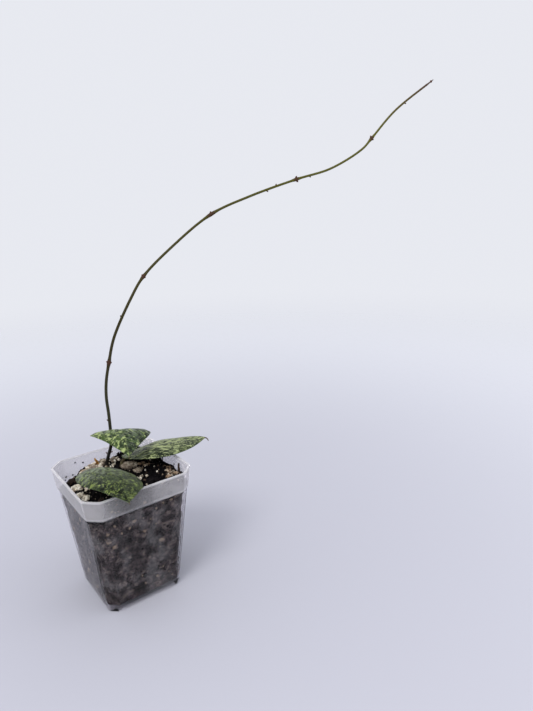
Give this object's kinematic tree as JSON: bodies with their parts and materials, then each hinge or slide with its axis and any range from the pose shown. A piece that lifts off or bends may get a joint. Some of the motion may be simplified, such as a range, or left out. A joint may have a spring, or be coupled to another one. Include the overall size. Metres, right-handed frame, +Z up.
{
  "type": "potted hoya wibergiae",
  "caption": "Young climbing hoya with silver-flecked leaves and one long bare runner, in a square frosted plastic nursery pot.",
  "frame": {"origin": "middle of the pot's foot, on the surface that the pot's four feet stand on", "axes": "+Z up, +X to the right along the pot's front, +Y towards the back"},
  "size_m": [0.2541, 0.0982, 0.3147],
  "materials": {
    "pot": "frosted, translucent",
    "mix": "matte, crumbly",
    "stem": "satin",
    "root": "matte",
    "leaf": "waxy",
    "pumice": "matte, porous",
    "stone": "matte",
    "bark": "matte",
    "dark_bark": "matte",
    "dried": "matte"
  },
  "bodies": {
    "root": {"pot": "pot", "potting_mix": "mix", "vine": "stem", "roots": "root", "leaf_upper": "leaf", "leaf_front": "leaf", "leaf_right": "leaf", "twig": "dark_bark", "dried_shoot": "dried", "pumice_1": "pumice", "pumice_2": "pumice", "pumice_3": "pumice", "pumice_4": "pumice", "pumice_5": "pumice", "pumice_6": "pumice", "pumice_7": "pumice", "pumice_8": "pumice", "pumice_9": "pumice", "stone_1": "stone", "stone_2": "stone", "stone_3": "stone", "stone_4": "stone", "bark_1": "bark", "bark_2": "bark", "bark_3": "bark", "bark_4": "bark", "bark_5": "bark", "bark_6": "bark", "dark_bark_1": "dark_bark", "dark_bark_2": "dark_bark", "dark_bark_3": "dark_bark", "dark_bark_4": "dark_bark", "dark_bark_5": "dark_bark"}
  },
  "joints": []
}
